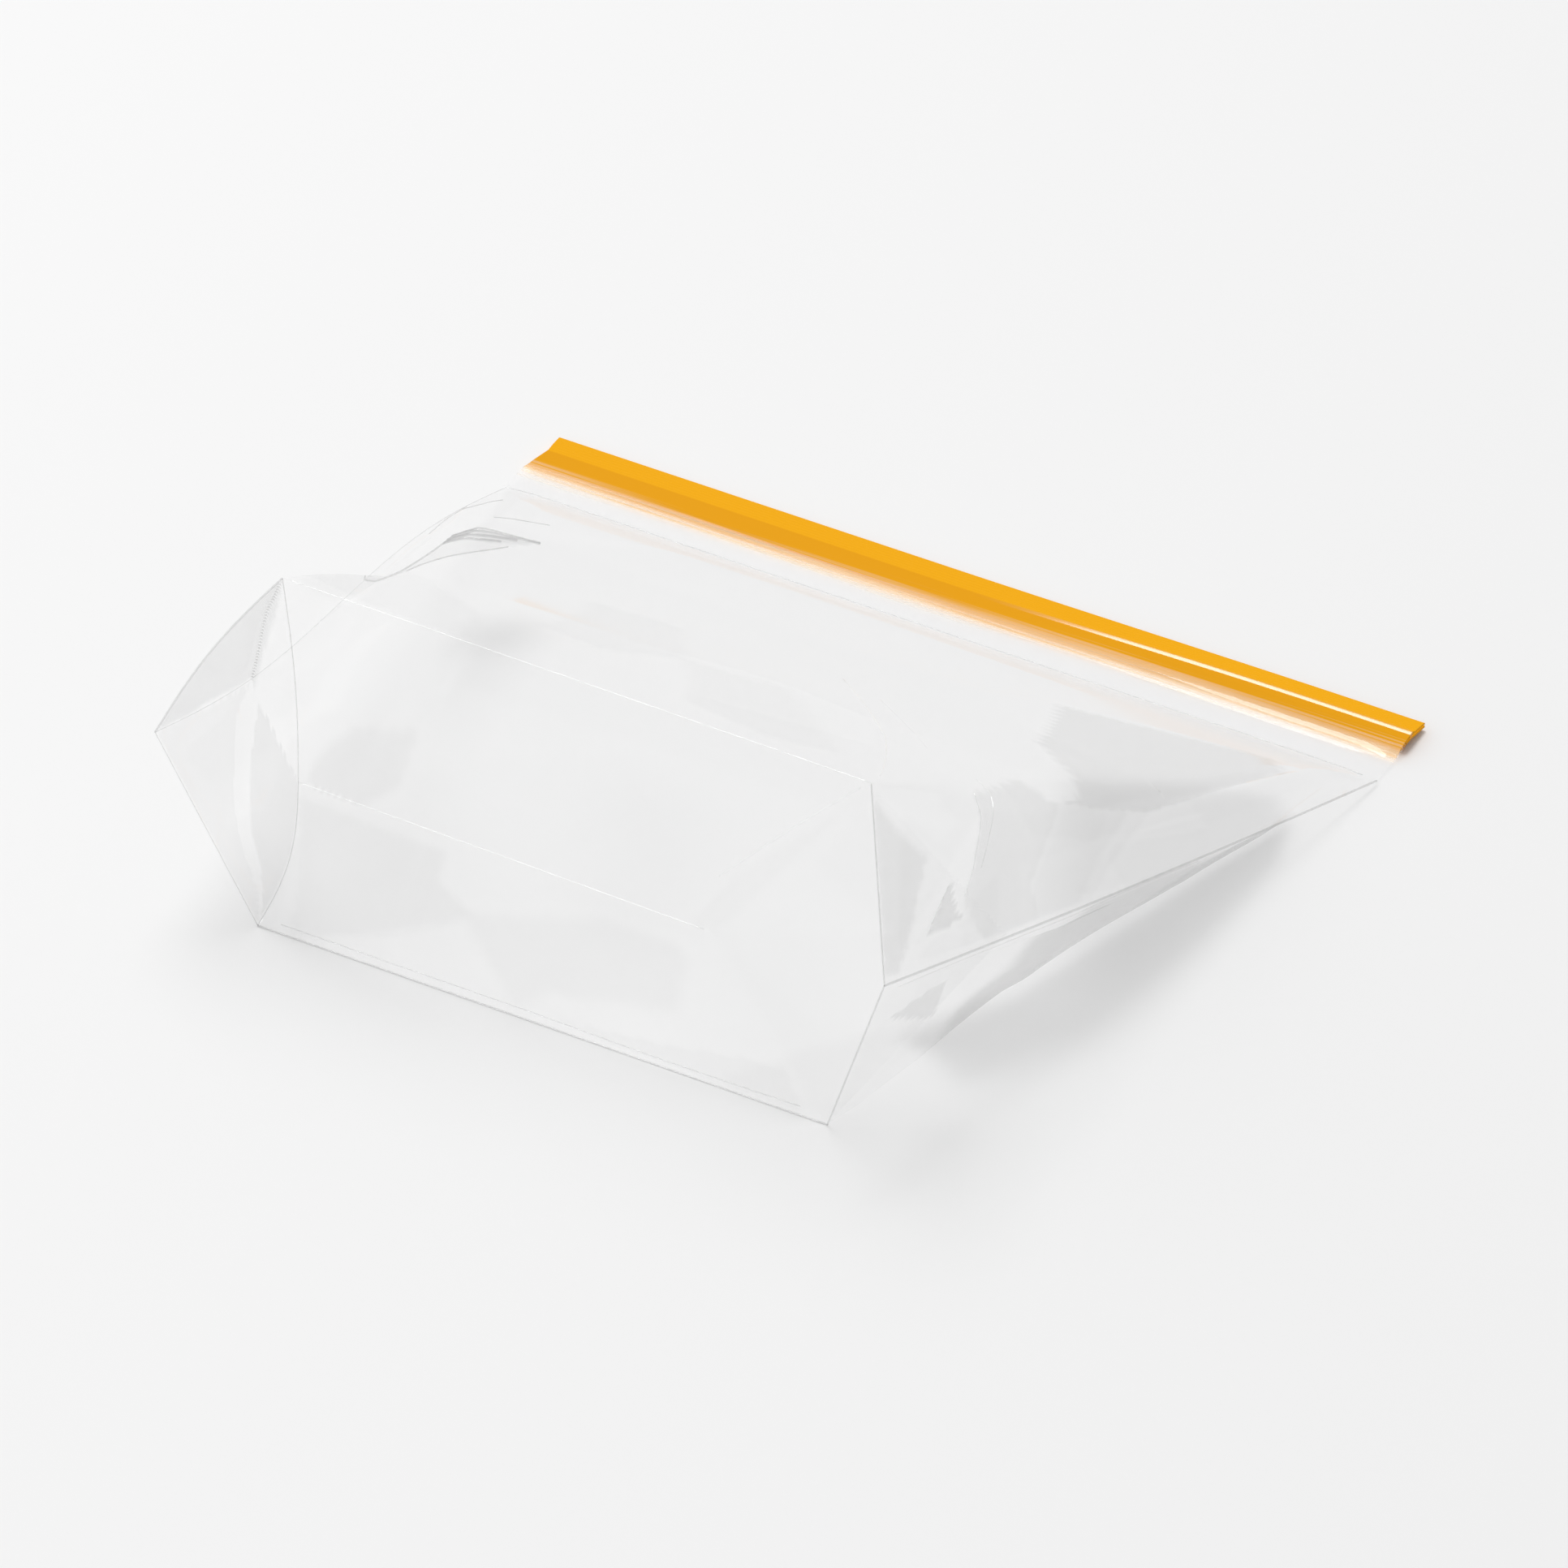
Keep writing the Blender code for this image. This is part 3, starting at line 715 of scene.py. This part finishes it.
# Folds that read dark, their beads given a dimmer tint as painted shade along the creases: panel, path, radius.
CREASED_AND_SHADED = clear_film("creased_film_shaded", 0.06, 0.03, 0.12, 0.89)
DARK_FOLDS = (
    ("back", ((0.333, 0.0), (0.667, 0.0)), 0.00022),
    ("lower", ((0.345, 0.94), (0.655, 0.94)), 0.00012),
    ("upper", ((0.0, 1.0), (0.333, 1.0)), 0.00026),
    ("upper", ((0.667, 1.0), (1.0, 1.0)), 0.00018),
    ("lower", ((0.0, 1.0), (0.333, 1.0)), 0.00010),
    ("lower", ((0.667, 1.0), (1.0, 1.0)), 0.00022),
    ("upper", ((0.333, 1.0), (0.333, 0.0)), 0.00014),
    ("lower", ((0.333, 0.0), (0.333, 1.0)), 0.00014),
    ("front", ((0.340, 0.25), (0.300, 0.48), (0.253, 0.708), (0.360, 0.767)), 0.00024),
    ("front", ((0.333, 0.458), (0.353, 0.70)), 0.00018),
    ("front", ((0.067, 0.733), (0.010, 0.875)), 0.00012),
    ("front", ((0.02, 0.858), (0.187, 0.925)), 0.00012),
    ("front", ((0.333, 0.817), (0.353, 0.867)), 0.00012),
    ("front", ((0.03, 1.0), (0.45, 1.0), (0.86, 1.0)), 0.00010),
    ("front", ((0.255, 0.700), (0.335, 0.738), (0.360, 0.767)), 0.00042),
    ("front", ((0.257, 0.680), (0.338, 0.715), (0.352, 0.745)), 0.00042),
    ("front", ((0.262, 0.662), (0.340, 0.692), (0.348, 0.715)), 0.00034),
)
folds = [line("fold", on_film(panel, path), radius) for panel, path, radius in DARK_FOLDS]
joined("folds_dark", folds, CREASED_AND_SHADED)

# Folds that catch the light.
BRIGHT = clear_film("bright_fold", 0.14, 0.04, 0.12)
BRIGHT_FOLDS = (
    ("front", ((0.333, 0.004), (0.667, 0.004)), 0.00010),
    ("upper", ((0.333, 0.0), (0.660, 0.0)), 0.00010),
    ("upper", ((0.664, 0.960), (0.640, 0.300)), 0.00030),
    ("front", ((0.527, 0.575), (0.600, 0.300), (0.655, 0.060)), 0.00016),
    ("front", ((0.553, 0.525), (0.613, 0.333)), 0.00010),
    ("front", ((0.667, 0.217), (0.893, 0.167)), 0.00015),
    ("front", ((0.655, 0.260), (0.840, 0.200)), 0.00010),
    ("front", ((0.940, 0.090), (0.860, 0.120)), 0.00020),
    ("back", ((0.985, 0.03), (0.980, 0.30), (0.985, 0.62)), 0.00016),
)
folds = [line("fold", on_film(panel, path), radius) for panel, path, radius in BRIGHT_FOLDS]
joined("folds_bright", folds, BRIGHT)

# ---------------------------------------------------------------------------------------------
# Closure: two extruded tapes pressed together. Each is solid orange over its lip and track,
# fades out in fine streaks and runs on as a thin clear flange that is welded inside the film.
# ---------------------------------------------------------------------------------------------
TAPE_END_Y = FLANGE_Y - 0.0004
CREST_Y = 0.1070              # the ridge where the lip meets the track
RIB_HEIGHT, RIB_PITCH = 0.00004, 0.0011
RIB_MIDDLE_Y, RIB_REACH = 0.1105, 0.0033
STREAK_SCALE = (9.0, 1500.0, 40.0)
STREAK_REACH = 0.0110         # how far the fine streaks shift the edge of the orange
RIGHT_HALF_SHIFT = -0.0012    # the right half pales a little nearer the track
FADE_START_Y, FADE_END_Y = 0.0955, 0.1008
TRACK_ORANGE = (0.775, 0.335, 0.0, 1)
LIP_ORANGE = (0.86, 0.395, 0.0, 1)
PALE_ORANGE = (0.98, 0.80, 0.52, 1)
CREST_POLISH = 0.10


def tape_mesh(name, top, bottom, track_rise):
    """A tape swept along the bag from (y, z) outlines of its top and its underside."""
    x = np.linspace(-BAG_WIDTH / 2, BAG_WIDTH / 2, 241)
    steps = np.concatenate((np.linspace(TAPE_END_Y, 0.0965, 14), np.linspace(0.0970, LIP_EDGE_Y, 70)))
    upper = np.interp(steps, *zip(*top))
    lower = np.interp(steps, *zip(*bottom))
    swell = np.interp(steps, (0.1030, CREST_Y - 0.0018, CREST_Y - 0.0002, CREST_Y + 0.0001, CREST_Y + 0.0014),
                      (0, 0.25, 1, 1, 0))
    grid_x, grid_y = np.meshgrid(x, steps)
    rise = track_rise * ease((grid_x + 0.01) / 0.09)
    # The cut ends are not quite straight: the left one is nicked where the lip meets the track.
    cut = np.interp(grid_y, (0.0972, 0.0990, CREST_Y, 0.1100, LIP_EDGE_Y), (-0.0011, -0.0005, 0.0007, 0.0003, 0))
    grid_x = grid_x + cut * ease(-(grid_x + 0.125) / 0.010)
    ribs = RIB_HEIGHT * np.sin(grid_y * 2 * np.pi / RIB_PITCH) * (np.abs(grid_y - RIB_MIDDLE_Y) < RIB_REACH)
    high = np.stack((grid_x, grid_y, upper[:, None] + swell[:, None] * rise + ribs), axis=-1)
    low = np.stack((grid_x, grid_y, lower[:, None] + 0 * grid_x), axis=-1)
    high, low = lifted(high), lifted(low)
    piece = skin(name, [(high, False), (low, True),
                        (np.stack((high[0], low[0])), True),
                        (np.stack((high[-1], low[-1])), False),
                        (np.stack((high[:, 0], low[:, 0])), False),
                        (np.stack((high[:, -1], low[:, -1])), True)])
    only(piece)
    bpy.ops.object.mode_set(mode="EDIT")
    bpy.ops.mesh.select_all(action="SELECT")
    bpy.ops.mesh.remove_doubles(threshold=0.00001)
    bpy.ops.mesh.normals_make_consistent(inside=False)
    bpy.ops.object.mode_set(mode="OBJECT")
    bpy.ops.object.shade_smooth_by_angle(angle=math.radians(40))
    return piece


def tape_film(name, cover_start, cover_end):
    """Orange plastic that pales in lengthwise streaks and ends in clear film towards the bag."""
    material = clear_film(name, 0.003, 0.01, 0.10)
    tree = material.node_tree
    clear_out = tree.nodes["Material Output"].inputs["Surface"].links[0].from_socket
    spotted = tree.nodes.new("ShaderNodeTexCoord")
    split = tree.nodes.new("ShaderNodeSeparateXYZ")
    tree.links.new(spotted.outputs["Object"], split.inputs[0])
    stretch = tree.nodes.new("ShaderNodeMapping")
    stretch.inputs["Scale"].default_value = STREAK_SCALE
    tree.links.new(spotted.outputs["Object"], stretch.inputs["Vector"])
    streaks = tree.nodes.new("ShaderNodeTexNoise")
    streaks.inputs["Scale"].default_value = 1.0
    streaks.inputs["Detail"].default_value = 3.0
    tree.links.new(stretch.outputs["Vector"], streaks.inputs["Vector"])
    jitter = tree.nodes.new("ShaderNodeMath")
    jitter.operation = "MULTIPLY_ADD"
    jitter.inputs[1].default_value = STREAK_REACH
    jitter.inputs[2].default_value = -STREAK_REACH / 2
    tree.links.new(streaks.outputs["Fac"], jitter.inputs[0])
    right_half = tree.nodes.new("ShaderNodeMapRange")
    right_half.interpolation_type = "SMOOTHSTEP"
    right_half.inputs["From Min"].default_value = 0.0
    right_half.inputs["From Max"].default_value = 0.05
    tree.links.new(split.outputs["X"], right_half.inputs["Value"])
    paler = tree.nodes.new("ShaderNodeMath")
    paler.operation = "MULTIPLY_ADD"
    paler.inputs[1].default_value = RIGHT_HALF_SHIFT
    tree.links.new(right_half.outputs["Result"], paler.inputs[0])
    tree.links.new(jitter.outputs[0], paler.inputs[2])
    edge = tree.nodes.new("ShaderNodeMath")
    edge.operation = "ADD"
    tree.links.new(split.outputs["Y"], edge.inputs[0])
    tree.links.new(paler.outputs[0], edge.inputs[1])
    cover = tree.nodes.new("ShaderNodeMapRange")
    cover.inputs["From Min"].default_value = cover_start
    cover.inputs["From Max"].default_value = cover_end
    tree.links.new(edge.outputs[0], cover.inputs["Value"])
    shade = tree.nodes.new("ShaderNodeMapRange")
    shade.interpolation_type = "SMOOTHSTEP"
    shade.inputs["From Min"].default_value = CREST_Y - 0.0006
    shade.inputs["From Max"].default_value = CREST_Y + 0.0002
    tree.links.new(split.outputs["Y"], shade.inputs["Value"])
    colour = tree.nodes.new("ShaderNodeMix")
    colour.data_type = "RGBA"
    colour.inputs["A"].default_value = TRACK_ORANGE
    colour.inputs["B"].default_value = LIP_ORANGE
    tree.links.new(shade.outputs["Result"], colour.inputs["Factor"])
    orange = tree.nodes.new("ShaderNodeBsdfPrincipled")
    orange.inputs["Roughness"].default_value = 0.6
    orange.inputs["Specular IOR Level"].default_value = 0.06
    fade = tree.nodes.new("ShaderNodeMapRange")
    fade.inputs["From Min"].default_value = FADE_START_Y
    fade.inputs["From Max"].default_value = FADE_END_Y
    tree.links.new(edge.outputs[0], fade.inputs["Value"])
    faded = tree.nodes.new("ShaderNodeMix")
    faded.data_type = "RGBA"
    faded.inputs["A"].default_value = PALE_ORANGE
    tree.links.new(fade.outputs["Result"], faded.inputs["Factor"])
    tree.links.new(colour.outputs["Result"], faded.inputs["B"])
    tree.links.new(faded.outputs["Result"], orange.inputs["Base Color"])
    crest = tree.nodes.new("ShaderNodeMath")
    crest.operation = "COMPARE"
    crest.inputs[1].default_value = CREST_Y - 0.0008
    crest.inputs[2].default_value = 0.0007
    tree.links.new(split.outputs["Y"], crest.inputs[0])
    polished = tree.nodes.new("ShaderNodeMath")
    polished.operation = "MULTIPLY"
    tree.links.new(crest.outputs[0], polished.inputs[0])
    tree.links.new(right_half.outputs["Result"], polished.inputs[1])
    polish = tree.nodes.new("ShaderNodeMath")
    polish.operation = "MULTIPLY"
    polish.inputs[1].default_value = CREST_POLISH
    tree.links.new(polished.outputs[0], polish.inputs[0])
    shine = tree.nodes.new("ShaderNodeBsdfGlossy")
    shine.inputs["Roughness"].default_value = 0.22
    ridged = tree.nodes.new("ShaderNodeMixShader")
    tree.links.new(polish.outputs[0], ridged.inputs["Fac"])
    tree.links.new(orange.outputs[0], ridged.inputs[1])
    tree.links.new(shine.outputs[0], ridged.inputs[2])
    joined_up = tree.nodes.new("ShaderNodeMixShader")
    tree.links.new(cover.outputs["Result"], joined_up.inputs["Fac"])
    tree.links.new(clear_out, joined_up.inputs[1])
    tree.links.new(ridged.outputs[0], joined_up.inputs[2])
    tree.links.new(joined_up.outputs[0], tree.nodes["Material Output"].inputs["Surface"])
    return material


upper_tape = tape_mesh(
    "tape_upper",
    ((TAPE_END_Y, 0.00080), (0.0950, 0.00090), (0.1005, 0.0016), (0.1136, 0.0017), (LIP_EDGE_Y, 0.0014)),
    ((TAPE_END_Y, 0.00060), (0.0950, 0.00070), (0.0995, 0.0010), (LIP_EDGE_Y, 0.0010)), 0.0005)
lower_tape = tape_mesh(
    "tape_lower",
    ((TAPE_END_Y, 0.00020), (0.0988, 0.00020), (0.0998, 0.0007), (0.1136, 0.0007), (LIP_EDGE_Y, 0.0006)),
    ((TAPE_END_Y, 0.00008), (0.0965, 0.00005), (0.0989, 0.0), (LIP_EDGE_Y, 0.0)), 0.0)
for piece, node, film_name, cover_start, cover_end in (
        (upper_tape, "closure_front", "orange_tape_upper", 0.0948, 0.0998),
        (lower_tape, "closure_back", "orange_tape_lower", 0.1000, 0.1020)):
    piece.data.materials.append(tape_film(film_name, cover_start, cover_end))
    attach(piece, "root")
    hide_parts(node)
upper_tape.visible_shadow = False    # the lower tape already shades the floor under both
